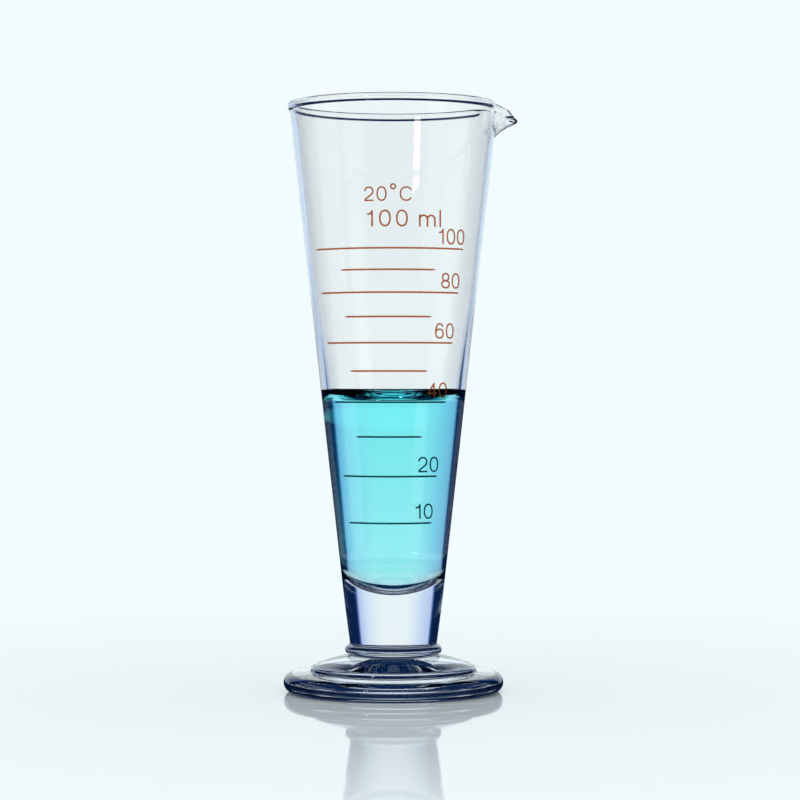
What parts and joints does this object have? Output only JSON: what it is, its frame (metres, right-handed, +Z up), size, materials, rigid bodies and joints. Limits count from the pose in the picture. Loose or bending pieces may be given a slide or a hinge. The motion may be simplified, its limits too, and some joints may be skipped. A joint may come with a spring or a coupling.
{
  "type": "conical measuring beaker",
  "caption": "Conical glass measuring beaker on a round stepped foot, with a pouring lip, a printed millilitre scale and coloured liquid inside.",
  "frame": {"origin": "middle of the foot, on the surface that it stands on", "axes": "+Z up along the axis of the stem and the bowl, +X towards the pouring lip, -Y out of the printed scale's side"},
  "size_m": [0.0682, 0.0636, 0.17],
  "materials": {
    "clear_glass": "clear, fire-polished",
    "cyan_liquid": "clear cyan liquid",
    "fired_enamel": "fired red-brown enamel print"
  },
  "bodies": {
    "root": {"glass_measure": "clear_glass", "coloured_liquid": "cyan_liquid", "scale_lines": "fired_enamel"}
  },
  "joints": []
}
